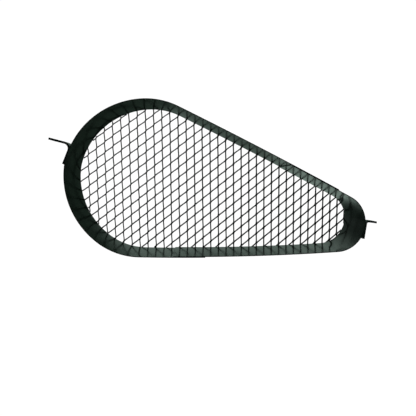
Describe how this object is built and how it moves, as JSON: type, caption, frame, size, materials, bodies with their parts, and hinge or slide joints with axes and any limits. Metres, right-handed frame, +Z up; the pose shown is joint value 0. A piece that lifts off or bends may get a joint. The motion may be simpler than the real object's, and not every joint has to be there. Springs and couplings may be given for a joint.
{
  "type": "teardrop mesh guard screen",
  "caption": "Teardrop guard screen: a deep sheet-steel rim with an open mouth, closed at the back by raised expanded metal, with a flat-bar fixing bracket at each end.",
  "frame": {"origin": "middle of the big loop, in the plane of the rim's open mouth", "axes": "+X from the big loop towards the nose, +Y from the open mouth back to the mesh, +Z up"},
  "size_m": [0.6519, 0.091, 0.3075],
  "materials": {
    "rim_paint": "gloss",
    "mesh_paint": "satin",
    "bracket_paint": "satin",
    "weld_paint": "satin"
  },
  "bodies": {
    "root": {"loop_strip": "rim_paint", "nose_strip": "rim_paint", "top_seam_welds": "weld_paint", "bottom_seam_welds": "weld_paint", "mesh_panel": "mesh_paint", "mesh_tack_welds": "weld_paint", "left_bracket": "bracket_paint", "left_bracket_weld": "weld_paint", "right_bracket": "bracket_paint", "right_bracket_weld": "weld_paint"}
  },
  "joints": []
}
